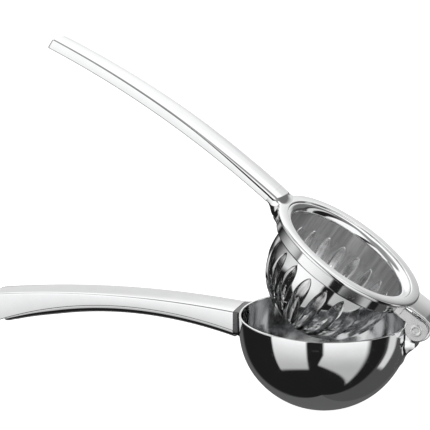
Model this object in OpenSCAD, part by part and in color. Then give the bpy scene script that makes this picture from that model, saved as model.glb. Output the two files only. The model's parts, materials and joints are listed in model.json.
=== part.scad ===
// Citrus press juicer: a solid bowl on the lower arm, a slotted strainer cup in a ring on the upper arm,
// and one riveted hinge between them.
// Frame: +X from the handles toward the hinge, +Y across the press, +Z up.
// Origin: centre of the small flat on which the bowl stands.

/* [Bowl] */
// Outside diameter of the bowl at its rim, mm
bowl_d = 74; // [66:1:84]
// Sheet thickness of the bowl, mm
bowl_wall = 1.2; // [0.9:0.1:1.6]
// Height of the straight band between the round bottom and the rim, mm
bowl_band = 4; // [2:0.5:6]
// Diameter of the flat the bowl stands on, mm
base_flat_d = 17; // [14:1:20]

/* [Handles] */
// Distance from the bowl's centre line to the tip of both handles, mm
handle_reach = 159; // [140:1:180]
// Width of both handles beside the bowl, mm
handle_root_w = 17.6; // [16:0.2:19]
// Width of both handles at the tip, mm
handle_tip_w = 14; // [12:0.2:16]
// Sheet thickness of the hollow handles, mm
handle_wall = 1.2; // [0.8:0.1:1.4]

/* [Strainer] */
// Outside diameter of the strainer cup, mm
cup_d = 57; // [52:1:57]
// Sheet thickness of the strainer cup, mm
cup_wall = 1; // [0.8:0.1:1.2]
// Number of juice slots around the cup
slot_count = 22; // [18:1:24]
// Width of a slot at its upper end, mm
slot_w = 1.8; // [1.4:0.1:2.6]

/* [Hinge] */
// How far the upper arm is lifted from the lower arm, degrees
open_angle = 33.7; // [0:0.1:100]
// Diameter of the rivet's shank, mm
rivet_d = 3.8; // [3.2:0.2:4.2]
// Diameter of the round end of each ear, mm
ear_d = 9.5; // [9:0.1:9.5]

/* [Output] */

/* [Hidden] */
$fn = 96;
fine = 360;

steel = [0.80, 0.81, 0.82];
dark_steel = [0.62, 0.63, 0.65];

// Bowl heights: the round part is a ball cut by the standing flat.
bowl_r = bowl_d / 2;
ball_z = sqrt(bowl_r * bowl_r - base_flat_d * base_flat_d / 4);
rim_z = ball_z + bowl_band;

// Hinge axis, just outside the bowl wall and at rim height.
hinge_x = bowl_r + 4.4;
hinge_z = rim_z + 0.3;
ear_in = 7.2;
ear_t = 2;
ear_out = ear_in + ear_t;
washer_t = 0.8;
lug_half = ear_in - washer_t - 0.1;
lug_r = 5.8;
lug_hollow_r = 15;
lug_foot_angle = 19.5;
bore_r = rivet_d / 2 + 0.05;

// Ring of the upper arm, written for the arms lying parallel.
ring_x = -1;
ring_top = rim_z + 8.2;
flange_t = 1.5;
flange_r = bowl_r;
skirt_r = bowl_r - 5;
skirt_wall = 1.4;
skirt_h = 8.1;
seat_r = skirt_r - 1;
lip_drop = 0.6;
flange_under = ring_top - flange_t;

// Strainer cup: straight wall, then half a ball.
cup_r = cup_d / 2;
cup_ball_z = ring_top - 13.6;
slot_top = cup_ball_z - 0.5;
slot_inner_r = 7;
slot_inner_w = 0.9;

// Web plate over the hinge, wrapped round its back.
web_half = 11;
web_step = 0.6;
web_t = 1;
web_outer_r = ring_top - web_step - hinge_z;
web_inner_r = web_outer_r - web_t;
web_end_angle = 20;
web_fillet_r = 2;

// Side outlines of the handles: each edge is an arc, named by its highest point.
lower_crest_x = -80;
lower_top_z = rim_z + 1.7;
lower_top_r = 500;
lower_side_z = rim_z - 4.1;
lower_side_r = 205;
lower_bulge = 2.5;
upper_crest_x = -78;
upper_top_z = rim_z + 11.4;
upper_arc_r = 470;
upper_depth = 4.8;

collar_t = 1.8;
lower_root_x = -bowl_r - collar_t;
upper_root_x = ring_x - flange_r - 3;
tip_x = -handle_reach;
cap_t = 1.4;
cap_foot = 7;
neck_right_x = ring_x - seat_r;
neck_flare = 4;
neck_top_fillet_r = 5.75;
neck_side_fillet_r = 7;

// How far a cutting shape runs past the face it cuts, and the length of one that has to pass everything.
clear = 1;
tall = 100;

// The collar is cut from a block that starts this far inside the bowl's skin.
collar_block_x = -bowl_r + 8;

// Half width of both handles at x.
function handle_half(x) =
    handle_root_w / 2 + (x + bowl_r) * (handle_root_w - handle_tip_w) / 2 / (handle_reach - bowl_r);

// Turns a child drawn for parallel arms up to the open angle.
module swing() {
    translate([hinge_x, 0, hinge_z])
        rotate([0, open_angle, 0])
            translate([-hinge_x, 0, -hinge_z])
                children();
}

// Stands a drawing of X and Z upright and gives it the width y0 to y1.
module across(y0, y1) {
    translate([0, y1, 0])
        rotate([90, 0, 0])
            linear_extrude(height = y1 - y0)
                children();
}

// Disc of the side view, named by its top point.
module disc_below(x, top, r) {
    translate([x, top - r])
        circle(r, $fn = fine);
}

// Half section of a cup: straight wall of radius r above a ball of the same radius.
module cup_section(r, centre_z, floor_z, top_z) {
    intersection() {
        union() {
            translate([0, centre_z])
                circle(r, $fn = fine);
            translate([0, centre_z])
                square([r, top_z - centre_z]);
        }
        translate([0, floor_z])
            square([r, top_z - floor_z]);
    }
}

// Everything inside the bowl's outer skin.
module bowl_body() {
    rotate_extrude($fn = fine)
        cup_section(bowl_r, ball_z, 0, rim_z);
}

// Plan outline shared by both handles, from the root to x_end, drawn in by inset.
module handle_plan(x_root, x_end, inset) {
    half_root = handle_half(x_root) - inset;
    half_end = handle_half(x_end) - inset;
    polygon([[x_end, -half_end], [x_end, half_end], [x_root, half_root], [x_root, -half_root]]);
}

// Upright column over the handle's plan outline.
module handle_column(x_root, x_end, inset) {
    translate([0, 0, rim_z - tall / 2])
        linear_extrude(height = tall)
            handle_plan(x_root, x_end, inset);
}

// Side view of the lower handle between its top arc and its lower side edge.
module lower_side(drop) {
    difference() {
        disc_below(lower_crest_x, lower_top_z - drop, lower_top_r - drop);
        disc_below(lower_crest_x - 3, lower_side_z, lower_side_r);
    }
}

// Side view of the upper handle, depth measured down from its top arc.
module upper_side(drop, depth) {
    difference() {
        disc_below(upper_crest_x, upper_top_z - drop, upper_arc_r - drop);
        disc_below(upper_crest_x, upper_top_z - depth, upper_arc_r - depth);
    }
}

// Rounded underside of the lower handle, swept along its side edge; inset shrinks it to the hollow.
module lower_bulge_body(x_root, x_end, inset) {
    half = handle_root_w / 2;
    round_r = (half * half + lower_bulge * lower_bulge) / (2 * lower_bulge);
    intersection() {
        handle_column(x_root, x_end, 0);
        translate([lower_crest_x - 3, 0, lower_side_z - lower_side_r])
            rotate([90, 0, 0])
                rotate_extrude($fn = fine)
                    intersection() {
                        translate([lower_side_r - lower_bulge + round_r, 0])
                            circle(round_r - inset, $fn = fine);
                        translate([lower_side_r - lower_bulge - clear, -half])
                            square([lower_bulge + clear, 2 * half]);
                    }
        translate([x_end - clear, -half, rim_z - tall / 2])
            cube([x_root - x_end + 2 * clear, 2 * half, tall]);
    }
}

module bowl() {
    color(steel)
        rotate_extrude($fn = fine)
            difference() {
                cup_section(bowl_r, ball_z, 0, rim_z);
                cup_section(bowl_r - bowl_wall, ball_z, bowl_wall, rim_z + clear);
            }
}

// Hollow curve under the hinge: it meets the bowl smoothly at lug_foot_angle below the ball's centre.
module lug_hollow() {
    reach = bowl_r + lug_hollow_r;
    translate([reach * cos(lug_foot_angle), ball_z - reach * sin(lug_foot_angle)])
        circle(lug_hollow_r, $fn = fine);
}

// Knuckle of the lower arm with the short web that runs down into the bowl wall.
module hinge_lug() {
    web_right_x = hinge_x - 0.5;
    foot_z = ball_z - bowl_r * sin(lug_foot_angle);
    left_x = bowl_r * cos(lug_foot_angle) - clear;
    color(steel)
        difference() {
            union() {
                across(-lug_half, lug_half)
                    translate([hinge_x, hinge_z])
                        circle(lug_r, $fn = fine);
                difference() {
                    across(-lug_half, lug_half)
                        translate([left_x, foot_z])
                            square([web_right_x - left_x, hinge_z - foot_z]);
                    across(-lug_half - clear, lug_half + clear)
                        lug_hollow();
                }
            }
            bowl_body();
            translate([0, 0, ball_z])
                cylinder(r = bowl_r, h = tall, $fn = fine);
            translate([hinge_x, lug_half + clear, hinge_z])
                rotate([90, 0, 0])
                    cylinder(r = bore_r, h = 2 * (lug_half + clear));
        }
}

module lower_handle_collar() {
    color(dark_steel)
        difference() {
            union() {
                intersection() {
                    handle_column(collar_block_x, lower_root_x, 0);
                    across(-handle_root_w, handle_root_w)
                        lower_side(0);
                }
                lower_bulge_body(collar_block_x, lower_root_x, 0);
            }
            bowl_body();
            translate([0, 0, ball_z])
                cylinder(r = bowl_r, h = tall, $fn = fine);
        }
}

module lower_handle_shell() {
    color(steel)
        difference() {
            intersection() {
                handle_column(lower_root_x, tip_x, 0);
                across(-handle_root_w, handle_root_w)
                    lower_side(0);
            }
            intersection() {
                handle_column(lower_root_x + clear, tip_x - clear, handle_wall);
                across(-handle_root_w, handle_root_w)
                    lower_side(handle_wall);
            }
        }
}

module lower_handle_belly() {
    end_x = tip_x + cap_foot;
    belly_wall = handle_wall - 0.2;
    color(steel)
        difference() {
            lower_bulge_body(lower_root_x, end_x, 0);
            lower_bulge_body(lower_root_x + clear, end_x + cap_t, belly_wall);
        }
}

// Foot and end wall that close the hollow of a handle at its tip.
module lower_handle_end_cap() {
    color(dark_steel)
        intersection() {
            handle_column(lower_root_x, tip_x, handle_wall);
            across(-handle_root_w, handle_root_w)
                intersection() {
                    lower_side(handle_wall);
                    union() {
                        translate([tip_x, rim_z - tall / 2])
                            square([cap_t, tall]);
                        intersection() {
                            translate([tip_x, rim_z - tall / 2])
                                square([cap_foot, tall]);
                            disc_below(lower_crest_x - 3, lower_side_z + cap_t, lower_side_r + cap_t);
                        }
                    }
                }
        }
}

// Flange and skirt that carry the strainer cup.
module press_ring() {
    color(steel)
        swing()
            translate([ring_x, 0, 0])
                rotate_extrude($fn = fine) {
                    translate([seat_r, flange_under])
                        square([flange_r - seat_r, flange_t]);
                    translate([skirt_r - skirt_wall, ring_top - skirt_h])
                        square([skirt_wall, skirt_h - flange_t]);
                }
}

// One slot: wide at its round upper end, narrow near the bottom of the cup. The round end is a little
// slimmer than slot_w, because the slot has already narrowed a little where it passes the wall.
module cup_slot() {
    reach = cup_r + clear;
    round_d = slot_w * 0.94;
    translate([0, 0, slot_top - reach])
        linear_extrude(height = reach)
            polygon([[slot_inner_r, -slot_inner_w / 2], [slot_inner_r, slot_inner_w / 2],
                     [reach, slot_w / 2], [reach, -slot_w / 2]]);
    translate([cup_r / 2, 0, slot_top])
        rotate([0, 90, 0])
            cylinder(d = round_d, h = cup_r);
}

module strainer_cup() {
    color(steel)
        swing()
            translate([ring_x, 0, 0])
                difference() {
                    rotate([0, 0, 180 / slot_count])
                        rotate_extrude($fn = fine) {
                            difference() {
                                cup_section(cup_r, cup_ball_z, cup_ball_z - cup_r, flange_under);
                                cup_section(cup_r - cup_wall, cup_ball_z, cup_ball_z - cup_r, ring_top);
                            }
                            translate([cup_r - cup_wall, ring_top - flange_t])
                                square([seat_r - cup_r + cup_wall, flange_t - lip_drop]);
                        }
                    for (i = [0 : slot_count - 1])
                        rotate([0, 0, i * 360 / slot_count])
                            cup_slot();
                }
}

// Plan of the web: a strap that flares at its left end, which lies inside the ring and is cut off there.
module web_plan() {
    left_x = flange_r - 7;
    flare_x = flange_r - 3 + web_fillet_r;
    half_left = web_half + web_fillet_r;
    difference() {
        union() {
            translate([left_x, -half_left])
                square([flare_x - left_x, 2 * half_left]);
            translate([left_x, -web_half])
                square([hinge_x - left_x, 2 * web_half]);
        }
        for (side = [-1, 1])
            translate([flare_x, side * half_left])
                circle(web_fillet_r, $fn = fine);
    }
}

// Side view of the web's rolled end, a part of a ring round the hinge axis.
module web_roll() {
    translate([hinge_x, hinge_z])
        difference() {
            circle(web_outer_r, $fn = fine);
            circle(web_inner_r, $fn = fine);
            translate([-2 * web_outer_r, -2 * web_outer_r])
                square([2 * web_outer_r, 4 * web_outer_r]);
            rotate(web_end_angle)
                translate([-2 * web_outer_r, -2 * web_outer_r])
                    square([4 * web_outer_r, 2 * web_outer_r]);
        }
}

// Plate from the ring over the hinge, rolled round the back of the knuckle.
module hinge_web() {
    color(steel)
        swing()
            difference() {
                union() {
                    translate([0, 0, hinge_z + web_inner_r])
                        linear_extrude(height = web_t)
                            web_plan();
                    across(-web_half, web_half)
                        web_roll();
                }
                translate([ring_x, 0, 0])
                    cylinder(r = flange_r, h = tall, $fn = fine);
            }
}

// Ear from the skirt to the rivet; y0 is its lower face across the press.
module ear(y0) {
    ear_r = ear_d / 2;
    strap_left = skirt_r - 6;
    strap_right = hinge_x + 1;
    strap_low = rim_z + 0.5;
    strap_high = hinge_z + ear_r - 0.2;
    difference() {
        union() {
            across(y0, y0 + ear_t)
                translate([hinge_x, hinge_z])
                    circle(ear_r, $fn = fine);
            across(y0, y0 + ear_t)
                translate([strap_left, strap_low])
                    square([strap_right - strap_left, strap_high - strap_low]);
        }
        across(y0 - clear, y0 + ear_t + clear)
            translate([hinge_x, hinge_z])
                circle(rivet_d / 2);
        translate([ring_x, 0, 0])
            cylinder(r = skirt_r, h = tall, $fn = fine);
    }
}

module near_ear() {
    color(steel)
        swing()
            ear(-ear_out);
}

module far_ear() {
    color(steel)
        swing()
            ear(ear_in);
}

// Block that joins the upper handle to the flange and the skirt.
module upper_handle_neck() {
    low_z = ring_top - 5.6;
    high_z = upper_top_z + clear;
    half = handle_half(upper_root_x);
    color(dark_steel)
        swing()
            difference() {
                intersection() {
                    across(-handle_root_w, handle_root_w)
                        intersection() {
                            translate([upper_root_x, low_z])
                                square([neck_right_x - upper_root_x, high_z - low_z]);
                            disc_below(upper_crest_x, upper_top_z, upper_arc_r);
                        }
                    translate([0, 0, low_z - clear])
                        linear_extrude(height = tall)
                            difference() {
                                translate([upper_root_x, -half - neck_flare])
                                    square([neck_right_x - upper_root_x, 2 * (half + neck_flare)]);
                                for (side = [-1, 1])
                                    translate([upper_root_x, side * (half + neck_side_fillet_r)])
                                        circle(neck_side_fillet_r, $fn = fine);
                            }
                }
                across(-handle_root_w - clear, handle_root_w + clear)
                    translate([neck_right_x, ring_top + neck_top_fillet_r])
                        circle(neck_top_fillet_r, $fn = fine);
                translate([ring_x, 0, 0])
                    cylinder(r = skirt_r, h = tall, $fn = fine);
                translate([ring_x, 0, flange_under])
                    cylinder(r = flange_r, h = flange_t, $fn = fine);
            }
}

module upper_handle_shell() {
    color(steel)
        swing()
            difference() {
                intersection() {
                    handle_column(upper_root_x, tip_x, 0);
                    across(-handle_root_w, handle_root_w)
                        upper_side(0, upper_depth);
                }
                intersection() {
                    handle_column(upper_root_x + clear, tip_x - clear, handle_wall);
                    across(-handle_root_w, handle_root_w)
                        upper_side(handle_wall, upper_depth + clear);
                }
            }
}

module upper_handle_belly() {
    color(steel)
        swing()
            intersection() {
                handle_column(upper_root_x, tip_x + cap_t, handle_wall);
                across(-handle_root_w, handle_root_w)
                    upper_side(upper_depth - handle_wall, upper_depth);
            }
}

module upper_handle_end_cap() {
    color(dark_steel)
        swing()
            intersection() {
                handle_column(tip_x + cap_t, tip_x, handle_wall);
                across(-handle_root_w, handle_root_w)
                    upper_side(handle_wall, upper_depth);
            }
}

// Semi-tubular rivet: plain round head on the far side, rolled hollow end on the near side.
module hinge_rivet() {
    far_head_r = 3.4;
    far_head_t = 1;
    roll_r = 2.5;
    roll_t = 0.6;
    hollow_r = 1.2;
    hollow_depth = 4;
    color(dark_steel)
        translate([hinge_x, 0, hinge_z])
            rotate([90, 0, 0])
                difference() {
                    union() {
                        translate([0, 0, -ear_out])
                            cylinder(d = rivet_d, h = 2 * ear_out);
                        translate([0, 0, -ear_out - far_head_t])
                            cylinder(r = far_head_r, h = far_head_t);
                        translate([0, 0, ear_out])
                            cylinder(r = roll_r, h = roll_t);
                    }
                    translate([0, 0, ear_out + roll_t - hollow_depth])
                        cylinder(r = hollow_r, h = hollow_depth + clear);
                }
}

// Two washers that give the hinge its drag.
module hinge_washers() {
    washer_r = ear_d / 2 - 0.4;
    color(dark_steel)
        for (side = [-1, 1])
            translate([hinge_x, side * (ear_in - washer_t / 2), hinge_z])
                rotate([90, 0, 0])
                    difference() {
                        cylinder(r = washer_r, h = washer_t, center = true);
                        cylinder(r = bore_r, h = washer_t + clear, center = true);
                    }
}

bowl();
hinge_lug();
lower_handle_collar();
lower_handle_shell();
lower_handle_belly();
lower_handle_end_cap();
press_ring();
strainer_cup();
hinge_web();
near_ear();
far_ear();
upper_handle_neck();
upper_handle_shell();
upper_handle_belly();
upper_handle_end_cap();
hinge_rivet();
hinge_washers();
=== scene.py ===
"""Looks of the citrus press juicer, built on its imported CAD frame.

Lengths are in metres; small ones are written as a number times MM. The arms are drawn parallel, and pieces of
the upper arm are then turned up to the open angle.
"""

import json
import math

import bpy
from mathutils import Matrix, Vector


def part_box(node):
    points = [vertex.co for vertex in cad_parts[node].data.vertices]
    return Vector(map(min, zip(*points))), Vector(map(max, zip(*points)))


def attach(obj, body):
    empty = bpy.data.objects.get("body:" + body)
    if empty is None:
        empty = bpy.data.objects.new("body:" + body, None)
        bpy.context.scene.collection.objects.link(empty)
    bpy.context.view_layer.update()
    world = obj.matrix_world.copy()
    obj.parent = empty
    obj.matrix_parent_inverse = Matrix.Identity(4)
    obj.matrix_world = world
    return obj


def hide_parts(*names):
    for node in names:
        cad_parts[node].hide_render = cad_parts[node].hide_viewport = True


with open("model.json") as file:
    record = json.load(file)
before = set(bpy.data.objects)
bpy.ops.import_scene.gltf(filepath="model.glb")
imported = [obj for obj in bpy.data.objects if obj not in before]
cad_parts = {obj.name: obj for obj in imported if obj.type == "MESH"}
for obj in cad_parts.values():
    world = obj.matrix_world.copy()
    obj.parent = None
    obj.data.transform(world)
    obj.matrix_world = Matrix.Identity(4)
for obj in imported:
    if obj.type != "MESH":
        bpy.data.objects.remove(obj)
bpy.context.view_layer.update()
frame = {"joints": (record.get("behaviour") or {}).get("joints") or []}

MM = 0.001

# ---------------------------------------------------------------- sizes, taken from the frame

BOWL_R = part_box("bowl")[1].x
RIM_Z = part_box("bowl")[1].z
BOWL_WALL = 1.2 * MM
BALL_Z = RIM_Z - 4 * MM

HINGE = Vector(frame["joints"][0]["pos_m"])
OPEN_ANGLE = math.radians(33.7)

RING_X = -1 * MM
RING_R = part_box("press_ring")[1].y
RING_TOP = RIM_Z + 8.2 * MM
FLANGE_T = 1.5 * MM
SKIRT_R = RING_R - 5 * MM
SKIRT_WALL = 1.4 * MM
SKIRT_LOW = RING_TOP - 8.1 * MM
SEAT_R = SKIRT_R - 1 * MM

CUP_R = 28.5 * MM
CUP_WALL = 1 * MM
CUP_BALL_Z = RING_TOP - 13.6 * MM
SLOT_COUNT = 22

HANDLE_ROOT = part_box("lower_handle_shell")[1].y
HANDLE_TIP = 7 * MM
TIP_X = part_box("lower_handle_shell")[0].x
LOWER_ROOT_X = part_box("lower_handle_shell")[1].x
UPPER_ROOT_X = RING_X - RING_R - 3 * MM
HANDLE_WALL = 1.2 * MM

LUG_FOOT_ANGLE = math.radians(19.5)
LUG_HOLLOW_R = 15 * MM
EAR_IN = 7.2 * MM
EAR_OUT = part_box("far_ear")[1].y
EAR_R = 4.75 * MM
LUG_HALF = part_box("hinge_lug")[1].y
LUG_R = 5.8 * MM
RIVET_R = 1.9 * MM
WEB_FILLET = 2 * MM
WEB_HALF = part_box("hinge_web")[1].y - WEB_FILLET
WEB_STEP = 0.6 * MM
WEB_T = 1 * MM

ROUND_STEPS = 5


# ---------------------------------------------------------------- small drawing helpers

def arc_height(x, crest_x, crest_z, radius):
    """Height at x of an arc whose highest point is at crest_x, crest_z."""
    return crest_z - radius + math.sqrt(radius ** 2 - (x - crest_x) ** 2)


def smooth(t):
    """Ease from 0 to 1."""
    t = min(1.0, max(0.0, t))
    return t * t * (3 - 2 * t)


def circle_point(centre_a, centre_b, radius, angle):
    """Point of a circle in a flat view."""
    return centre_a + radius * math.cos(angle), centre_b + radius * math.sin(angle)


def rounded(corners, steps=ROUND_STEPS):
    """Closed outline from corners (a, b, radius), rounded with curves that leave the sides smoothly."""
    outline = []
    count = len(corners)
    for i, (a, b, radius) in enumerate(corners):
        here = Vector((a, b))
        before = Vector(corners[i - 1][:2]) - here
        after = Vector(corners[(i + 1) % count][:2]) - here
        half = before.angle(after) / 2
        reach = min(radius / math.tan(half), before.length * 0.49, after.length * 0.49)
        start = here + before.normalized() * reach
        end = here + after.normalized() * reach
        for k in range(steps + 1):
            t = k / steps
            outline.append(start.lerp(here, t).lerp(here.lerp(end, t), t))
    return outline


def swung(points):
    """Points drawn for parallel arms, turned up about the hinge to the open angle."""
    turn = Matrix.Translation(HINGE) @ Matrix.Rotation(OPEN_ANGLE, 4, "Y") @ Matrix.Translation(-HINGE)
    return [turn @ Vector(p) for p in points]


def add_piece(name, points, faces, body, nodes, looks, sharp=40, bevel=0.0,
              face_looks=None):
    """Makes a mesh piece that rides on a body and stands for CAD nodes; face_looks picks a look per face."""
    if body == "upper_arm":
        points = swung(points)
    mesh = bpy.data.meshes.new(name)
    mesh.from_pydata([tuple(p) for p in points], [], faces)
    mesh.validate()
    for look in looks:
        mesh.materials.append(look)
    if face_looks:
        mesh.polygons.foreach_set("material_index", face_looks)
    mesh.shade_smooth()
    mesh.set_sharp_from_angle(angle=math.radians(sharp))
    piece = bpy.data.objects.new(name, mesh)
    bpy.context.scene.collection.objects.link(piece)
    if bevel:
        edge = piece.modifiers.new("soft_edges", "BEVEL")
        edge.width = bevel
        edge.segments = 3
        edge.limit_method = "ANGLE"
        edge.angle_limit = math.radians(40)
        edge.harden_normals = True
    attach(piece, body)
    if nodes:
        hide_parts(*nodes)
    return piece


def grid_faces(rows, columns, closed_rows=False, closed_columns=True):
    """Quads over a grid of rows by columns, wrapping where asked."""
    faces = []
    for i in range(rows if closed_rows else rows - 1):
        for j in range(columns if closed_columns else columns - 1):
            i2 = (i + 1) % rows
            j2 = (j + 1) % columns
            faces.append((i * columns + j, i * columns + j2, i2 * columns + j2, i2 * columns + j))
    return faces


def lathe(profile_at, steps, centre=(0, 0), closed=True):
    """Turns profile_at(angle), a list of (radius, height), about the upright axis through centre."""
    points = []
    for i in range(steps):
        angle = 2 * math.pi * i / steps
        for radius, height in profile_at(angle):
            points.append((*circle_point(*centre, radius, angle), height))
    columns = len(points) // steps
    return points, grid_faces(steps, columns, closed_rows=True, closed_columns=closed)


def loft(sections, cap_start=True, cap_end=True):
    """Skin over closed sections that all have the same number of points."""
    columns = len(sections[0])
    points = [p for section in sections for p in section]
    faces = grid_faces(len(sections), columns)
    if cap_start:
        faces.append(tuple(range(columns - 1, -1, -1)))
    if cap_end:
        first = (len(sections) - 1) * columns
        faces.append(tuple(range(first, first + columns)))
    return points, faces


def plate_across(outline, y0, y1):
    """Plate from y0 to y1 with a side-view outline of (x, z)."""
    return loft([[(x, y, z) for x, z in outline] for y in (y0, y1)])


def upright(x, outline):
    """Section standing at x, from an outline of (y, z)."""
    return [(x, y, z) for y, z in outline]


# ---------------------------------------------------------------- materials

class Nodes:
    """Short way to write a node tree."""

    def __init__(self, tree):
        self.tree = tree
        tree.nodes.clear()

    def add(self, kind, inputs=None, **settings):
        """New node; an input is a value or another node's socket."""
        node = self.tree.nodes.new(kind)
        for key, value in settings.items():
            setattr(node, key, value)
        for key, value in (inputs or {}).items():
            if isinstance(value, bpy.types.NodeSocket):
                self.tree.links.new(value, node.inputs[key])
            else:
                node.inputs[key].default_value = value
        return node

    def math(self, operation, a, b=0.0, c=0.0):
        """Result of one operation on up to three numbers."""
        return self.add("ShaderNodeMath", {0: a, 1: b, 2: c}, operation=operation).outputs[0]

    def span(self, value, low, high, to_low=0.0, to_high=1.0):
        """Smooth step of value from low to high."""
        return self.add("ShaderNodeMapRange", {"Value": value, "From Min": low, "From Max": high,
                                               "To Min": to_low, "To Max": to_high},
                        interpolation_type="SMOOTHSTEP").outputs[0]


SCRATCH = 0.10


def steel(name, tone, rough_low, rough_high, wave, brushed=0.0):
    """Stainless steel: slow waviness, smudges, fine scratches, and a painted highlight on convex edges;
    brushed adds streaks down a cup's wall.
    """
    material = bpy.data.materials.new(name)
    material.use_nodes = True
    n = Nodes(material.node_tree)
    place = n.add("ShaderNodeTexCoord").outputs["Object"]
    slow = n.add("ShaderNodeTexNoise", {"Vector": place, "Scale": 35.0, "Detail": 2.0})
    smudge = n.add("ShaderNodeTexNoise", {"Vector": place, "Scale": 140.0, "Detail": 5.0, "Roughness": 0.6})
    stretched = n.add("ShaderNodeMapping", {"Vector": place, "Scale": (120.0, 1400.0, 900.0),
                                            "Rotation": (0.2, 0.3, 0.1)}).outputs[0]
    hair = n.add("ShaderNodeTexNoise", {"Vector": stretched, "Scale": 1.0, "Detail": 3.0})
    hairline = n.span(hair.outputs["Fac"], 0.62, 0.72)
    rough = n.span(smudge.outputs["Fac"], 0.35, 0.7, rough_low, rough_high)
    rough = n.math("MULTIPLY_ADD", hairline, SCRATCH, rough)
    height = n.math("MULTIPLY", slow.outputs["Fac"], wave)
    height = n.math("MULTIPLY_ADD", hairline, -0.02 * SCRATCH, height)
    shade = n.span(smudge.outputs["Fac"], 0.3, 0.7, 0.97, 1.0)
    if brushed:
        unwrapped = n.add("ShaderNodeUVMap").outputs[0]
        combed = n.add("ShaderNodeMapping", {"Vector": unwrapped, "Scale": (260.0, 5.0, 1.0)}).outputs[0]
        streak = n.add("ShaderNodeTexNoise", {"Vector": combed, "Scale": 1.0, "Detail": 4.0,
                                              "Roughness": 0.7})
        rough = n.math("MULTIPLY_ADD", streak.outputs["Fac"], 0.18 * brushed, rough)
        height = n.math("MULTIPLY_ADD", streak.outputs["Fac"], 0.05 * brushed, height)
        broad = n.add("ShaderNodeTexNoise", {"Vector": combed, "Scale": 0.13, "Detail": 2.0})
        shade = n.math("MULTIPLY", shade, n.span(streak.outputs["Fac"], 0.25, 0.75, 0.72, 1.12))
        shade = n.math("MULTIPLY", shade, n.span(broad.outputs["Fac"], 0.3, 0.7, 0.75, 1.15))
    # Convex edges are made up to 5% lighter: a painted highlight.
    highlight_pointiness = n.add("ShaderNodeNewGeometry").outputs["Pointiness"]
    shade = n.math("MULTIPLY", shade, n.span(highlight_pointiness, 0.5, 0.6, 1.0, 1.05))
    # A colour mix has its factor in socket 0, its two colours in 6 and 7 and its result in output 2.
    colour = n.add("ShaderNodeMix", {0: shade, 6: (0, 0, 0, 1), 7: (*tone, 1)}, data_type="RGBA",
                   clamp_factor=False).outputs[2]
    bump = n.add("ShaderNodeBump", {"Strength": 1.0, "Distance": 0.001, "Height": height}).outputs[0]
    shader = n.add("ShaderNodeBsdfPrincipled", {"Base Color": colour, "Metallic": 1.0, "Roughness": rough,
                                                "Normal": bump})
    n.add("ShaderNodeOutputMaterial", {"Surface": shader.outputs[0]})
    return material


MIRROR = steel("mirror_steel", (0.86, 0.865, 0.87), 0.03, 0.075, wave=0.02)
SATIN = steel("satin_steel", (0.88, 0.88, 0.885), 0.22, 0.34, wave=0.03)
BRUSHED = steel("brushed_cup_steel", (0.80, 0.80, 0.805), 0.24, 0.34, wave=0.02, brushed=1.0)
PRESSED = steel("pressed_hollow_steel", (0.80, 0.80, 0.805), 0.10, 0.20, wave=0.05, brushed=0.35)
DRAWN = steel("deep_drawn_steel", (0.62, 0.625, 0.63), 0.09, 0.16, wave=0.04)
# Near-black steel for the joint of lower handle and bowl: painted shade for the dark band where they meet.
PAINTED_SHADE_STEEL = steel("painted_shade_joint_steel", (0.12, 0.12, 0.125), 0.20, 0.32, wave=0.05)


# ---------------------------------------------------------------- lower arm

LEAN = 0.7 * MM


def lean(z):
    """How far the pressed bowl leans toward the handle at height z."""
    return LEAN * smooth((RIM_Z - 6 * MM - z) / (20 * MM))


def bowl():
    """Sheet bowl with a rounded rim, polished outside and plain drawn steel inside."""
    arc_steps = 48
    rim_steps = 8
    turns = 240

    def half_arc(radius, low_z):
        """Ball outline from its floor at low_z up to the ball's centre height."""
        start = -math.asin((BALL_Z - low_z) / radius)
        return [circle_point(0, BALL_Z, radius, start * (1 - k / arc_steps)) for k in range(arc_steps + 1)]

    rim_r = BOWL_WALL / 2
    outside = [(0.0, 0.0)] + half_arc(BOWL_R, 0.0)
    rim = [circle_point(BOWL_R - rim_r, RIM_Z - rim_r, rim_r, math.pi * k / rim_steps)
           for k in range(rim_steps + 1)]
    inside = half_arc(BOWL_R - BOWL_WALL, BOWL_WALL)[::-1] + [(0.0, BOWL_WALL)]
    profile = outside + rim + inside
    points, faces = lathe(lambda angle: profile, turns, closed=False)
    points = [(x - lean(z), y, z) for x, y, z in points]
    first_inside = len(outside) + len(rim) - 1
    looks = [int(j >= first_inside) for _ in range(turns) for j in range(len(profile) - 1)]
    add_piece("bowl_skin", points, faces, "lower_arm", ["bowl"], [MIRROR, DRAWN], sharp=50, face_looks=looks)


def handle_half_width(x):
    """Half width of both handles at x."""
    share = (LOWER_ROOT_X - x) / (LOWER_ROOT_X - TIP_X)
    return HANDLE_ROOT + (HANDLE_TIP - HANDLE_ROOT) * share


def stations(root_x, end_x, end_round, count=60, end_count=6):
    """Positions from root to end with how far the section draws in there; the end is rounded."""
    spots = [(root_x + (end_x + end_round - root_x) * k / count, 0.0) for k in range(count + 1)]
    for k in range(1, end_count + 1):
        turn = math.pi / 2 * k / end_count
        spots.append((end_x + end_round * (1 - math.sin(turn)), end_round * (1 - math.cos(turn))))
    return spots


def crowned(y, half, crown, edge):
    """How far a crowned top lies below its crest at y; edge is the radius of its long edges."""
    over = max(0.0, abs(y) - half + edge)
    return crown * (abs(y) / half) ** 3 + edge - math.sqrt(max(0.0, edge ** 2 - over ** 2))


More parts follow.
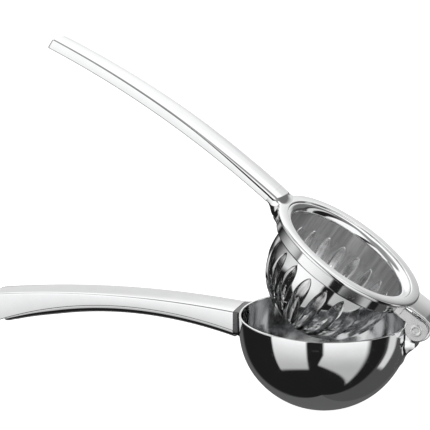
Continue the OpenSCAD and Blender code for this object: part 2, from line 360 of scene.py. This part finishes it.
def channel_section(x, half, top, low, crown=0.2 * MM, edge=0.9 * MM, foot=0.9 * MM):
    """Section of a bent-sheet handle: crowned top, two sides, open below; foot rounds its lower edges."""
    wall = HANDLE_WALL
    roof = top - wall - crown
    roof_r = 0.6 * MM
    lip_r = 0.1 * MM
    half_steps = 16
    across = [half * math.sin(math.pi / 2 * (k / half_steps - 1)) for k in range(2 * half_steps + 1)]
    crown_line = [(y, top - crowned(y, half, crown, edge)) for y in across]
    corners = [(-half, top, 0.0), (half, top, 0.0), (half, low, foot), (half - wall, low, lip_r),
               (half - wall, roof, roof_r), (wall - half, roof, roof_r), (wall - half, low, lip_r),
               (-half, low, foot)]
    # The crown line stands in for the two top corners, so their points are left out.
    below = rounded(corners)[2 * (ROUND_STEPS + 1):]
    return upright(x, crown_line + below)


def tip_plug(name, node, body, depth, low_at, top_at, bevel):
    """Plate or block that closes the hollow of a handle at its tip, reaching depth into it."""
    sections = []
    for x in (TIP_X + 0.3 * MM, TIP_X + depth):
        half = handle_half_width(x) - HANDLE_WALL - 0.05 * MM
        low = low_at(x) + 0.1 * MM
        top = top_at(x) - HANDLE_WALL - 0.4 * MM
        sections.append(upright(x, [(-half, low), (half, low), (half, top), (-half, top)]))
    points, faces = loft(sections)
    add_piece(name, points, faces, body, [node], [MIRROR], bevel=bevel)


LOWER_CREST = -80 * MM
LOWER_TOP = RIM_Z + 1.7 * MM
LOWER_TOP_R = 500 * MM
LOWER_SIDE = RIM_Z - 4.1 * MM
LOWER_SIDE_R = 205 * MM
LOWER_SIDE_X = LOWER_CREST - 3 * MM
LOWER_SIDE_LIFT = 0.6 * MM
LOWER_BULGE = 2.5 * MM
END_ROUND = 1.5 * MM


def lower_top(x):
    """Height of the lower handle's top face at x."""
    return arc_height(x, LOWER_CREST, LOWER_TOP, LOWER_TOP_R)


def lower_low(x):
    """Height of the lower handle's side edge at x, lifted a little in the middle."""
    share = min(1.0, max(0.0, (LOWER_ROOT_X - x) / (LOWER_ROOT_X - TIP_X)))
    return arc_height(x, LOWER_SIDE_X, LOWER_SIDE, LOWER_SIDE_R) + LOWER_SIDE_LIFT * math.sin(math.pi * share)


def lower_handle():
    """Bent shell of the lower handle, its rounded underside and the cap in its tip."""
    sections = [channel_section(x, handle_half_width(x) - draw, lower_top(x), lower_low(x))
                for x, draw in stations(LOWER_ROOT_X, TIP_X, END_ROUND)]
    points, faces = loft(sections)
    add_piece("lower_handle_sheet", points, faces, "lower_arm", ["lower_handle_shell"], [MIRROR])

    foot = 7 * MM
    belly_end = TIP_X + foot
    belly_round = 6 * MM
    deepening = 1.3 * MM
    steps = 24
    sections = []
    for x, draw in stations(LOWER_ROOT_X, belly_end, belly_round):
        half = handle_half_width(x) - 0.3 * MM
        bulge = LOWER_BULGE + deepening * smooth((x - belly_end) / (30 * MM))
        depth = bulge * math.sqrt(max(0.0, 1 - (draw / belly_round) ** 2)) - 0.2 * MM * (draw > 0)
        depth = max(depth, 0.1 * MM)
        low = lower_low(x)
        outline = []
        for k in range(steps + 1):
            y = -half * math.cos(math.pi * k / steps)
            outline.append((y, low - depth * math.sqrt(max(0.0, 1 - (y / half) ** 4))))
        for k in range(steps + 1):
            outline.append((half - 2 * half * k / steps, low + 0.2 * MM))
        sections.append(upright(x, outline))
    points, faces = loft(sections)
    add_piece("lower_handle_underside", points, faces, "lower_arm", ["lower_handle_belly"], [MIRROR])

    tip_plug("lower_handle_tip_plug", "lower_handle_end_cap", "lower_arm", foot, lower_low, lower_top,
             0.25 * MM)


def bowl_surface_x(y, z, side):
    """X of the bowl's outer skin at y and z, on the handle side (-1) or the hinge side (1)."""
    below = max(0.0, BALL_Z - z)
    return side * math.sqrt(max(0.0, BOWL_R ** 2 - y ** 2 - below ** 2)) - lean(z)


def lower_collar():
    """Hollow-curved joint between lower handle and bowl, drawn in near-black steel as painted shade."""
    low_r = 2.4 * MM
    top_r = 0.7 * MM
    start_x = LOWER_ROOT_X - 0.2 * MM
    sections = []
    steps = 8
    for k in range(steps + 1):
        t = k / steps
        flare = 1.1 * MM * (1 - math.sqrt(1 - t * t))
        half = HANDLE_ROOT - 0.25 * MM + flare
        top = lower_top(LOWER_ROOT_X) - 0.15 * MM
        low = lower_low(LOWER_ROOT_X) - LOWER_BULGE + 0.4 * MM - flare
        corners = [(-half, low, low_r), (-half, top, top_r), (half, top, top_r), (half, low, low_r)]
        section = []
        for y, z in rounded(corners):
            end_x = bowl_surface_x(y, z, -1) + 0.1 * MM
            section.append((start_x + (end_x - start_x) * t, y, z))
        sections.append(section)
    points, faces = loft(sections)
    # The joint gets near-black steel: painted shade.
    add_piece("lower_handle_joint", points, faces, "lower_arm", ["lower_handle_collar"], [PAINTED_SHADE_STEEL])


def hinge_lug():
    """Knuckle of the lower arm with the web below it, spreading onto the bowl."""
    low_z = BALL_Z - BOWL_R * math.sin(LUG_FOOT_ANGLE) - 1 * MM
    hollow_x, hollow_z = circle_point(0, BALL_Z, BOWL_R + LUG_HOLLOW_R, -LUG_FOOT_ANGLE)
    web_right_x = HINGE.x - 0.5 * MM
    spread = 3.2 * MM
    beside_ear = EAR_IN - LUG_HALF - 0.3 * MM
    ear_bottom = HINGE.z - EAR_R - 0.8 * MM

    def ridge_x(z):
        """Outer edge of the web under the hinge at height z."""
        inside = LUG_HOLLOW_R ** 2 - (z - hollow_z) ** 2
        if inside <= 0:
            return web_right_x
        return min(web_right_x, hollow_x - math.sqrt(inside))

    steps = 28
    count = 44
    rows = []
    for k in range(steps + 1):
        z = low_z + (HINGE.z - low_z) * k / steps
        local = beside_ear + (spread - beside_ear) * smooth((ear_bottom - z) / (3 * MM))
        row = []
        for j in range(count + 1):
            y = (LUG_HALF + spread) * (2 * j / count - 1)
            skin = bowl_surface_x(y, z, 1)
            rise = max(0.0, ridge_x(z) - bowl_surface_x(0, z, 1))
            share = min(1.0, max(0.0, (LUG_HALF + local - abs(y)) / local))
            row.append((skin + rise * (1 - math.sqrt(1 - share ** 2)), y, z))
        rows.append(row)
    inner = [[(bowl_surface_x(y, z, 1) - 0.4 * MM, y, z) for _, y, z in row] for row in rows]
    columns = count + 1
    points = [p for row in rows for p in row] + [p for row in inner for p in row]
    faces = grid_faces(len(rows), columns, closed_columns=False)
    back = len(points) // 2
    faces += [tuple(v + back for v in reversed(face)) for face in list(faces)]
    last = (len(rows) - 1) * columns
    faces += [(j + 1, j, j + back, j + 1 + back) for j in range(count)]
    faces += [(last + j, last + j + 1, last + j + 1 + back, last + j + back) for j in range(count)]
    for side in (0, count):
        for i in range(len(rows) - 1):
            a = i * columns + side
            b = a + columns
            faces.append((a, b, b + back, a + back) if side == 0 else (b, a, a + back, b + back))
    add_piece("hinge_lug_web", points, faces, "lower_arm", [], [MIRROR], sharp=60)

    turns = 64
    circle = [circle_point(HINGE.x, HINGE.z, LUG_R, 2 * math.pi * k / turns) for k in range(turns)]
    points, faces = plate_across(circle, -LUG_HALF, LUG_HALF)
    add_piece("hinge_knuckle", points, faces, "lower_arm", ["hinge_lug"], [MIRROR], bevel=0.4 * MM)


# ---------------------------------------------------------------- upper arm

def flange_radius(angle):
    """Outer radius of the ring's flange: slightly oval, longer across the press."""
    oval = 1.7 * MM
    return RING_R - oval * abs(math.cos(angle)) ** 2.5


def flange_x(y, side):
    """X of the flange's outer edge at y, on the handle side (-1) or the hinge side (1)."""
    angle = math.asin(min(1.0, abs(y) / RING_R))
    for _ in range(6):
        angle = math.asin(min(1.0, abs(y) / flange_radius(angle)))
    return RING_X + side * flange_radius(angle) * math.cos(angle)


def press_ring():
    """Flange, recessed seat and skirt in one turned section; the skirt is thicker under the neck."""
    seat_low = RING_TOP - 1.6 * MM
    flange_low = RING_TOP - FLANGE_T
    inner_r = SKIRT_R - SKIRT_WALL
    pad = 2.6 * MM

    def section(angle):
        """The ring's outline at an angle round it."""
        flange_r = flange_radius(angle)
        aside = abs(SKIRT_R * math.sin(angle))
        skirt_r = SKIRT_R
        if math.cos(angle) < 0:
            skirt_r += pad * smooth((10 * MM - aside) / (5 * MM))
        return rounded([
            (SEAT_R, seat_low, 0.2 * MM), (SEAT_R, RING_TOP, 0.5 * MM),
            (flange_r, RING_TOP, 1.1 * MM), (flange_r, flange_low, 0.35 * MM),
            (skirt_r, flange_low, 0.5 * MM), (skirt_r, SKIRT_LOW, 1.2 * MM),
            (inner_r, SKIRT_LOW, 0.45 * MM), (inner_r, seat_low, 0.1 * MM),
        ])

    points, faces = lathe(section, 256, centre=(RING_X, 0))
    add_piece("press_ring_turned", points, faces, "upper_arm", ["press_ring"], [MIRROR], sharp=50)


def hinge_web():
    """Plate over the hinge: one step below the flange, rolled round the back of the knuckle."""
    outer_r = RING_TOP - WEB_STEP - HINGE.z
    inner_r = outer_r - WEB_T
    overlap = 0.6 * MM
    top_r = 0.7 * MM
    low_r = 0.25 * MM
    flat_steps = 24
    roll_steps = 18
    upward = math.pi / 2
    end_angle = math.radians(20)
    # Each station: its share of the flat part, then its angle round the hinge.
    path = [(k / flat_steps, upward) for k in range(flat_steps + 1)]
    path += [(1.0, upward + (end_angle - upward) * k / roll_steps) for k in range(1, roll_steps + 1)]
    left_x = flange_x(WEB_HALF, 1) - overlap
    flare_x = flange_x(WEB_HALF + WEB_FILLET, 1) + WEB_FILLET
    sections = []
    for along, turn in path:
        nominal_x = left_x + (HINGE.x - left_x) * along
        gap = min(WEB_FILLET, max(0.0, flare_x - nominal_x))
        half = WEB_HALF + WEB_FILLET - math.sqrt(WEB_FILLET ** 2 - gap ** 2)
        corners = [(-half, inner_r, low_r), (-half, outer_r, top_r),
                   (half, outer_r, top_r), (half, inner_r, low_r)]
        section = []
        for y, radius in rounded(corners):
            x, z = circle_point(HINGE.x, HINGE.z, radius, turn)
            if along < 1.0:
                start_x = flange_x(y, 1) - overlap
                x = start_x + (HINGE.x - start_x) * along
            section.append((x, y, z))
        sections.append(section)
    points, faces = loft(sections)
    add_piece("hinge_cover_plate", points, faces, "upper_arm", ["hinge_web"], [MIRROR], sharp=50)


# Places on the cup's wall are given by their run: the way down the wall from the ball's centre height.
HOLLOW_TOP = -2.9 * MM
SLOT_START = 7.5 * MM
SLOT_END = 37.5 * MM


def slot_half_width(run):
    """Half width of a slot: narrow at both ends, and narrower toward the bottom of the cup."""
    radius = CUP_R * math.cos(max(0.0, run) / CUP_R)
    widest = 0.45 * MM + 0.45 * MM * (radius - 7 * MM) / (CUP_R - 6 * MM)
    opening = 0.45 + 0.55 * smooth((run - SLOT_START) / (9 * MM))
    upper_end = min(1.0, max(0.0, run - SLOT_START) / (1.2 * MM))
    lower_end = min(1.0, max(0.0, SLOT_END - run) / (0.6 * MM))
    return widest * opening * math.sqrt(upper_end * lower_end)


def hollow_half_width(run, pitch):
    """Half width of the leaf-shaped hollow round a slot; pitch is the slot spacing there."""
    top = min(1.0, max(0.0, run - HOLLOW_TOP) / (9 * MM))
    return min(2.8 * MM * (1 - (1 - top) ** 2) ** 0.6, 0.46 * pitch)


def hollow_depth(run):
    """How far the middle of a hollow is pressed in: a small step at its top, then a slow deepening."""
    down = max(0.0, run - HOLLOW_TOP)
    depth = 0.35 * MM * (1 - math.exp(-down / (0.6 * MM))) + 1.5 * MM * smooth(down / (22 * MM))
    return depth * smooth((SLOT_END + 3 * MM - run) / (18 * MM))


# Mesh columns on each side of a slot's middle: the slot, its hollow, and the plain wall beside that.
SLOT_COLUMNS = 3
HOLLOW_COLUMNS = 6
PLAIN_COLUMNS = 3
HOLLOW_EDGE = SLOT_COLUMNS + HOLLOW_COLUMNS


def cup_columns():
    """Mesh columns once round the cup: number of the slot, side of its middle, place counted from there."""
    per_side = HOLLOW_EDGE + PLAIN_COLUMNS
    columns = []
    for index in range(SLOT_COUNT):
        columns += [(index, -1, k) for k in reversed(range(per_side))]
        columns += [(index, 1, k) for k in range(per_side)]
    return columns


def cup_meridian():
    """Rows of the inner skin from lip to pole: radius, height, inward normal (radial and up), run.

    Also gives the number of rows in the polished lip. The lip has no run and gets one far above the hollows.
    """
    inner_r = CUP_R - CUP_WALL
    lip_r = 3.2 * MM
    lip_top = RING_TOP - 0.5 * MM
    wall_top = lip_top - lip_r
    flat_steps = 3
    bend_steps = 12
    wall_steps = 6
    no_run = -1.0
    rows = []
    for k in range(flat_steps):
        along = (SEAT_R - inner_r - lip_r) * k / flat_steps
        rows.append((SEAT_R - 0.1 * MM - along, lip_top, 0.0, 1.0, no_run))
    for k in range(bend_steps + 1):
        turn = math.pi / 2 * k / bend_steps
        rows.append((inner_r + lip_r - lip_r * math.sin(turn), wall_top + lip_r * math.cos(turn),
                     -math.sin(turn), math.cos(turn), no_run))
    polished_rows = len(rows) - 1
    wall_end = CUP_BALL_Z - HOLLOW_TOP + 0.3 * MM
    for k in range(1, wall_steps + 1):
        z = wall_top + (wall_end - wall_top) * k / wall_steps
        rows.append((inner_r, z, -1.0, 0.0, CUP_BALL_Z - z))

    # Rows lie close together where the hollows begin and where the slots end.
    runs = [HOLLOW_TOP]
    for stop, count in ((HOLLOW_TOP + 4.8 * MM, 24), (HOLLOW_TOP + 10.8 * MM, 12), (SLOT_END - 1 * MM, 28)):
        start = runs[-1]
        runs += [start + (stop - start) * k / count for k in range(1, count + 1)]
    runs += [SLOT_END - 0.7 * MM + 0.25 * MM * k for k in range(8)]
    start = runs[-1]
    runs += [start + (CUP_R * math.pi / 2 - start) * k / 6.2 for k in range(1, 7)]
    for run in runs:
        phi = max(0.0, run) / CUP_R
        above = max(0.0, -run)
        rows.append((inner_r * math.cos(phi), CUP_BALL_Z + above - inner_r * math.sin(phi),
                     -math.cos(phi), math.sin(phi), run))
    return rows, polished_rows


def cup_across(k, slot, hollow, pitch):
    """Distance of column k from the middle of its slot, for the half widths of slot and hollow."""
    if k < SLOT_COLUMNS:
        return slot * (k + 0.5) / (SLOT_COLUMNS - 0.5)
    if k < HOLLOW_EDGE:
        share = (k - SLOT_COLUMNS + 1) / HOLLOW_COLUMNS
        return slot + (hollow - slot) * (1 - (1 - share) ** 1.8)
    share = (k - HOLLOW_EDGE + 0.5) / PLAIN_COLUMNS
    return hollow + (pitch / 2 - hollow) * share


def cup_points(meridian, columns):
    """Points of the cup's inner skin and of its outer skin, row by row."""
    sector = 2 * math.pi / SLOT_COUNT
    inner, outer = [], []
    for radius, height, normal_r, normal_z, run in meridian:
        pitch = sector * radius
        hollow = max(hollow_half_width(run, pitch), 0.3 * MM)
        slot = min(max(slot_half_width(run), 0.12 * MM), hollow * 0.7)
        depth = hollow_depth(run)
        for index, side, k in columns:
            across = cup_across(k, slot, hollow, pitch)
            press = depth * max(0.0, 1 - (across / hollow) ** 5)
            angle = index * sector + side * across / radius
            for skin, inset in ((inner, press), (outer, press - CUP_WALL)):
                x, y = circle_point(RING_X, 0, radius + normal_r * inset, angle)
                skin.append((x, y, height + normal_z * inset))
    return inner, outer


def cup_faces(meridian, columns, polished_rows):
    """Faces of both skins and of the slot walls between them, and the number of each face's look."""
    outside, inside, pressed, painted_highlight_border = range(4)
    rows = len(meridian)
    count = len(columns)
    skin = rows * count
    open_rows = [SLOT_START < row[4] < SLOT_END for row in meridian]
    faces, looks = [], []

    def is_hole(i, j):
        """True where the quad at row i, column j is part of a slot."""
        first, second = columns[j % count], columns[(j + 1) % count]
        return (i + 1 < rows and open_rows[i] and open_rows[i + 1] and first[0] == second[0]
                and max(first[2], second[2]) < SLOT_COLUMNS)

    def skin_looks(i, j):
        """Looks of the inner and the outer quad at row i, column j; a hollow's border inside gets the lighter
        satin steel, a painted highlight.
        """
        place = max(columns[j][2], columns[(j + 1) % count][2])
        in_hollow = meridian[i][4] > HOLLOW_TOP + 0.1 * MM and place < HOLLOW_EDGE
        inner_look = inside
        if i < polished_rows:
            inner_look = outside
        elif in_hollow:
            # The hollow's border is drawn in the lighter satin steel: a painted highlight along its crease.
            inner_look = painted_highlight_border if place >= HOLLOW_EDGE - 3 else pressed
        return inner_look, pressed if in_hollow and place < HOLLOW_EDGE - 2 else outside

    def add(face, look):
        """Keeps a face together with its look."""
        faces.append(face)
        looks.append(look)

    for i in range(rows - 1):
        for j in range(count):
            a = i * count + j
            b = i * count + (j + 1) % count
            c = b + count
            d = a + count
            if not is_hole(i, j):
                inner_look, outer_look = skin_looks(i, j)
                add((a, b, c, d), inner_look)
                add((d + skin, c + skin, b + skin, a + skin), outer_look)
                continue
            for start, end, beside in ((d, a, (i, j - 1)), (b, c, (i, j + 1)),
                                       (a, b, (i - 1, j)), (c, d, (i + 1, j))):
                if not is_hole(*beside):
                    add((end, start, start + skin, end + skin), outside)
    for j in range(count):
        j2 = (j + 1) % count
        add((j2, j, j + skin, j2 + skin), outside)
    last = (rows - 1) * count
    add(tuple(last + j for j in range(count)), inside)
    add(tuple(last + skin + j for j in reversed(range(count))), outside)
    return faces, looks


def strainer_cup():
    """Slotted cup: polished outside, brushed inside, each slot at the bottom of a pressed hollow."""
    meridian, polished_rows = cup_meridian()
    columns = cup_columns()
    inner, outer = cup_points(meridian, columns)
    faces, looks = cup_faces(meridian, columns, polished_rows)
    piece = add_piece("strainer_cup_pressed", inner + outer, faces, "upper_arm", ["strainer_cup"],
                      [MIRROR, BRUSHED, PRESSED, SATIN], sharp=38, face_looks=looks)
    layer = piece.data.uv_layers.new(name="round_and_down")
    for loop in piece.data.loops:
        row, column = divmod(loop.vertex_index % len(inner), len(columns))
        layer.data[loop.index].uv = (column / len(columns), row / len(meridian))


def ears():
    """Two straps from the skirt to the rivet, each thickened where it leaves the skirt."""
    low = RIM_Z + 0.5 * MM
    high = HINGE.z + EAR_R - 0.2 * MM
    left = SKIRT_R - 3 * MM
    # The round end runs clockwise from the strap's upper edge to its lower edge.
    start = math.pi - math.asin((high - HINGE.z) / EAR_R)
    end = -math.pi - math.asin((low - HINGE.z) / EAR_R)
    steps = 48
    outline = [(left, low), (left, high)]
    outline += [circle_point(HINGE.x, HINGE.z, EAR_R, start + (end - start) * k / steps)
                for k in range(steps + 1)]
    outline = outline[::-1]
    tab_right = SKIRT_R + 0.2 * MM
    tab_low = RIM_Z + 0.9 * MM
    tab_high = RING_TOP - FLANGE_T - 0.3 * MM
    tab = [(left, tab_low), (tab_right, tab_low), (tab_right, tab_high), (left, tab_high)]
    for side, node in ((-1, "near_ear"), (1, "far_ear")):
        inner, outer = sorted((side * EAR_IN, side * EAR_OUT))
        points, faces = plate_across(outline, inner, outer)
        add_piece(node + "_strap", points, faces, "upper_arm", [node], [SATIN],
                  bevel=0.3 * MM)
        inner, outer = sorted((side * (EAR_IN - 0.3 * MM), side * (EAR_OUT + 0.4 * MM)))
        points, faces = plate_across(tab, inner, outer)
        add_piece(node + "_root", points, faces, "upper_arm", [], [SATIN],
                  bevel=0.35 * MM)


def turned_across(corners, steps=64):
    """Turns the rounded outline of corners (radius, y, rounding) about the hinge axis."""
    profile = rounded(corners)
    points = []
    for i in range(steps):
        for radius, y in profile:
            x, z = circle_point(HINGE.x, HINGE.z, radius, 2 * math.pi * i / steps)
            points.append((x, y, z))
    return points, grid_faces(steps, len(profile), closed_rows=True)


def rivet():
    """Semi-tubular rivet: rolled over on the near ear, plain round head on the far ear."""
    near = -EAR_OUT
    roll = 0.6 * MM
    roll_r = 2.5 * MM
    hollow_r = 1.2 * MM
    hollow_end = near + 4 * MM
    axis_r = 0.02 * MM
    head_r = 3.4 * MM
    head_top = EAR_OUT + 1.0 * MM
    points, faces = turned_across([
        (axis_r, hollow_end, 0.01 * MM), (hollow_r, hollow_end, 0.1 * MM), (hollow_r, near - roll, 0.4 * MM),
        (roll_r, near - roll, 0.6 * MM), (roll_r, near, 0.1 * MM), (RIVET_R, near, 0.05 * MM),
        (RIVET_R, EAR_OUT, 0.05 * MM), (head_r, EAR_OUT, 0.1 * MM), (head_r, EAR_OUT + 0.5 * MM, 0.3 * MM),
        (1.5 * MM, head_top, 0.8 * MM), (axis_r, head_top, 0.01 * MM),
    ])
    add_piece("hinge_rivet_turned", points, faces, "upper_arm", ["hinge_rivet"], [SATIN])


def washers():
    """The two drag washers between knuckle and ears, in one piece as they share a node."""
    bore_r = RIVET_R + 0.1 * MM
    outer_r = 4.3 * MM
    half_t = 0.38 * MM
    corner_r = 0.1 * MM
    points, faces = [], []
    for side in (-1, 1):
        middle = side * (EAR_IN - 0.4 * MM)
        washer_points, washer_faces = turned_across([
            (bore_r, middle - half_t, corner_r), (bore_r, middle + half_t, corner_r),
            (outer_r, middle + half_t, corner_r), (outer_r, middle - half_t, corner_r),
        ])
        faces += [tuple(v + len(points) for v in face) for face in washer_faces]
        points += washer_points
    add_piece("hinge_drag_washers", points, faces, "upper_arm", ["hinge_washers"], [SATIN])


UPPER_CREST = -78 * MM
UPPER_TOP = RIM_Z + 11.4 * MM
UPPER_R = 470 * MM
UPPER_DEPTH = 4.8 * MM


def upper_top(x):
    """Height of the upper handle's crest at x."""
    return arc_height(x, UPPER_CREST, UPPER_TOP, UPPER_R)


def upper_low(x):
    """Height of the upper handle's side edge at x."""
    return arc_height(x, UPPER_CREST, UPPER_TOP - UPPER_DEPTH, UPPER_R - UPPER_DEPTH)


def upper_edge(x):
    """Rounding of the upper handle's long edges: it grows toward the neck."""
    return 0.9 * MM + 1.0 * MM * smooth((x - UPPER_ROOT_X + 45 * MM) / (45 * MM))


def upper_crown(x):
    """Crown of the upper handle's top face: it grows toward the neck."""
    return 0.15 * MM + 0.55 * MM * smooth((x - UPPER_ROOT_X + 60 * MM) / (60 * MM))


def upper_handle():
    """Bent shell of the upper handle, the plate that closes it and the cap in its tip."""
    sections = [channel_section(x, handle_half_width(x) - draw, upper_top(x), upper_low(x), upper_crown(x),
                                upper_edge(x), foot=0.6 * MM)
                for x, draw in stations(UPPER_ROOT_X, TIP_X, END_ROUND)]
    points, faces = loft(sections)
    add_piece("upper_handle_sheet", points, faces, "upper_arm", ["upper_handle_shell"], [MIRROR])

    corner_r = 0.2 * MM
    sections = []
    for x, _ in stations(UPPER_ROOT_X, TIP_X + 1.4 * MM, 1 * MM):
        half = handle_half_width(x) - HANDLE_WALL - 0.02 * MM
        low = upper_low(x)
        high = low + 1.0 * MM
        corners = [(-half, low, corner_r), (-half, high, corner_r),
                   (half, high, corner_r), (half, low, corner_r)]
        sections.append(upright(x, rounded(corners)))
    points, faces = loft(sections)
    add_piece("upper_handle_underside", points, faces, "upper_arm", ["upper_handle_belly"], [MIRROR])

    tip_plug("upper_handle_tip_plug", "upper_handle_end_cap", "upper_arm", 1.35 * MM, upper_low, upper_top,
             0.2 * MM)


def upper_neck():
    """Block that joins handle and ring: the top falls in a hollow curve onto the flange, the sides flare."""
    side_r = 7 * MM
    chamfer = 0.6 * MM
    foot_x = RING_X - SEAT_R
    crest_end_x = -36.6 * MM
    plane = RING_TOP - 0.03 * MM
    crown = upper_crown(UPPER_ROOT_X)
    round_r = upper_edge(UPPER_ROOT_X)
    columns = 25
    steps = 40
    start_x = UPPER_ROOT_X - 0.2 * MM
    sections = []
    for k in range(steps + 1):
        x = start_x + (foot_x - 0.3 * MM - start_x) * k / steps
        gap = min(max(0.0, x - UPPER_ROOT_X - 2.5 * MM), 5.5 * MM)
        blend = smooth((x - UPPER_ROOT_X - 1 * MM) / (5 * MM))
        low = upper_low(x) + (RING_TOP - 6 * MM - upper_low(x)) * blend
        half = handle_half_width(UPPER_ROOT_X) - 0.05 * MM + side_r - math.sqrt(side_r ** 2 - gap ** 2)
        section = [(x, -half + chamfer, low), (x, -half, low + chamfer)]
        for j in range(columns):
            y = half * math.sin(math.pi / 2 * (2 * j / (columns - 1) - 1))
            end_x = crest_end_x - 1.5 * MM * (abs(y) / HANDLE_ROOT) ** 3
            toe_x = foot_x - 4 * MM * (y / (13 * MM)) ** 2
            fall = min(1.0, max(0.0, (x - end_x) / (toe_x - end_x)))
            crest = upper_top(x) - 0.05 * MM - crowned(y, half, crown, round_r)
            section.append((x, y, plane + (crest - plane) * (1 - fall) ** 2.0))
        section += [(x, half, low + chamfer), (x, half - chamfer, low)]
        sections.append(section[::-1])
    points, faces = loft(sections)
    add_piece("upper_handle_neck_block", points, faces, "upper_arm", ["upper_handle_neck"], [MIRROR],
              sharp=60)


bowl()
lower_handle()
lower_collar()
hinge_lug()
press_ring()
hinge_web()
strainer_cup()
ears()
rivet()
washers()
upper_handle()
upper_neck()


# ---------------------------------------------------------------- studio

CAMERA_PLACE = Vector((0.13793, -0.52125, 0.20915))
CAMERA_TARGET = Vector((-0.05012, 0.0, 0.08009))
CAMERA_LENS = 109.5
CAMERA_AZIMUTH = math.radians(19.8)


def studio_world():
    """Studio light by direction: two front panels with a dark gap, a light backdrop, a dark table."""
    world = bpy.data.worlds.new("studio")
    world.use_nodes = True
    bpy.context.scene.world = world
    n = Nodes(world.node_tree)
    toward = n.add("ShaderNodeTexCoord").outputs["Generated"]
    axes = n.add("ShaderNodeSeparateXYZ", {0: toward}).outputs
    azimuth = n.math("ARCTAN2", axes[0], n.math("MULTIPLY", axes[1], -1.0))
    azimuth = n.math("MULTIPLY_ADD", azimuth, 180 / math.pi, -math.degrees(CAMERA_AZIMUTH))
    azimuth = n.math("WRAP", azimuth, 180.0, -180.0)
    elevation = n.math("MULTIPLY", n.math("ARCSINE", axes[2]), 180 / math.pi)
    aside = n.math("ABSOLUTE", azimuth)

    def both(*masks):
        """Product of all masks."""
        total = masks[0]
        for mask in masks[1:]:
            total = n.math("MULTIPLY", total, mask)
        return total

    def rising(value, at, soft):
        """1 above at, 0 below, with a soft edge."""
        return n.span(value, at - soft, at + soft)

    def falling(value, at, soft):
        """1 below at, 0 above, with a soft edge."""
        return n.span(value, at + soft, at - soft)

    glow = n.span(elevation, -46.0, 2.0, 0.50, 1.15)
    left_panel = both(rising(azimuth, -77.0, 2.0), falling(azimuth, -28.0, 2.0),
                      rising(elevation, -45.0, 2.5), falling(elevation, 50.0, 8.0), glow)
    left_fill = both(n.span(azimuth, -142.0, -84.0), falling(azimuth, -30.0, 3.0),
                     rising(elevation, 3.0, 5.0), falling(elevation, 40.0, 8.0), 0.85)
    slant = n.math("MULTIPLY_ADD", azimuth, 0.40, elevation)
    below = n.math("MAXIMUM", n.math("SUBTRACT", -24.0, elevation), 0.0)
    inward = n.math("MULTIPLY_ADD", below, 0.5, azimuth)
    right_panel = both(rising(inward, -6.0, 2.0), falling(azimuth, 55.0, 5.0), rising(slant, -44.0, 2.5),
                       falling(elevation, 50.0, 8.0), glow)
    strip = both(rising(azimuth, 88.0, 3.0), falling(azimuth, 104.0, 4.0), rising(elevation, -42.0, 3.0),
                 falling(elevation, 35.0, 8.0), 0.75)
    higher = n.math("MAXIMUM", n.math("SUBTRACT", elevation, 20.0), 0.0)
    spread = n.math("MULTIPLY_ADD", higher, 1.5, aside)
    backdrop = both(rising(spread, 146.0, 7.0), n.span(elevation, -3.0, 6.0), falling(elevation, 66.0, 6.0),
                    n.span(elevation, 16.0, 26.0, 0.80, 1.2))
    table = n.math("MULTIPLY", rising(azimuth, 84.0, 4.0), 0.07)
    table = n.math("MAXIMUM", table, n.math("MULTIPLY", rising(aside, 145.0, 6.0), 0.105))
    table = n.math("MULTIPLY_ADD", table, falling(elevation, -2.0, 8.0), 0.014)
    side_wall = both(rising(azimuth, 112.0, 6.0), n.span(elevation, -8.0, 2.0), 0.18)
    table = n.math("MAXIMUM", table, side_wall)
    above = n.math("MULTIPLY", rising(elevation, 35.0, 20.0), 0.30)
    total = n.math("ADD", table, above)
    for light in (left_panel, left_fill, right_panel, strip, backdrop):
        total = n.math("MAXIMUM", total, light)
    shade = n.add("ShaderNodeBackground", {"Color": (1, 1, 1, 1), "Strength": total})
    n.add("ShaderNodeOutputWorld", {"Surface": shade.outputs[0]})


def studio_floor():
    """Pale floor and white dome that only the camera sees, so the steel reflects the studio alone."""
    material = bpy.data.materials.new("pale_floor")
    material.use_nodes = True
    n = Nodes(material.node_tree)
    matte = n.add("ShaderNodeBsdfDiffuse", {"Color": (0.5, 0.5, 0.5, 1)})
    glow = n.add("ShaderNodeEmission", {"Color": (1, 1, 1, 1), "Strength": 0.92})
    both = n.add("ShaderNodeAddShader", {0: matte.outputs[0], 1: glow.outputs[0]})
    n.add("ShaderNodeOutputMaterial", {"Surface": both.outputs[0]})
    bpy.ops.mesh.primitive_plane_add(size=6.0, location=(0, 0, -0.0003))
    floor = bpy.context.object
    floor.name = "pale_floor"
    floor.data.materials.append(material)

    white = bpy.data.materials.new("white_dome")
    white.use_nodes = True
    n = Nodes(white.node_tree)
    light = n.add("ShaderNodeEmission", {"Color": (1, 1, 1, 1), "Strength": 1.0})
    n.add("ShaderNodeOutputMaterial", {"Surface": light.outputs[0]})
    bpy.ops.mesh.primitive_uv_sphere_add(radius=5.0, segments=64, ring_count=32, location=(0, 0, 0))
    dome = bpy.context.object
    dome.name = "white_dome"
    dome.data.materials.append(white)
    for item in (floor, dome):
        item.visible_glossy = False
        item.visible_diffuse = False
        item.visible_shadow = False


def camera():
    """The photograph's viewpoint."""
    data = bpy.data.cameras.new("camera")
    data.lens = CAMERA_LENS
    data.sensor_width = 36.0
    data.clip_end = 20.0
    eye = bpy.data.objects.new("camera", data)
    bpy.context.scene.collection.objects.link(eye)
    eye.location = CAMERA_PLACE
    eye.rotation_euler = (CAMERA_TARGET - CAMERA_PLACE).to_track_quat("-Z", "Y").to_euler()
    bpy.context.scene.camera = eye


studio_world()
studio_floor()
camera()
bpy.context.scene.view_settings.view_transform = "Standard"
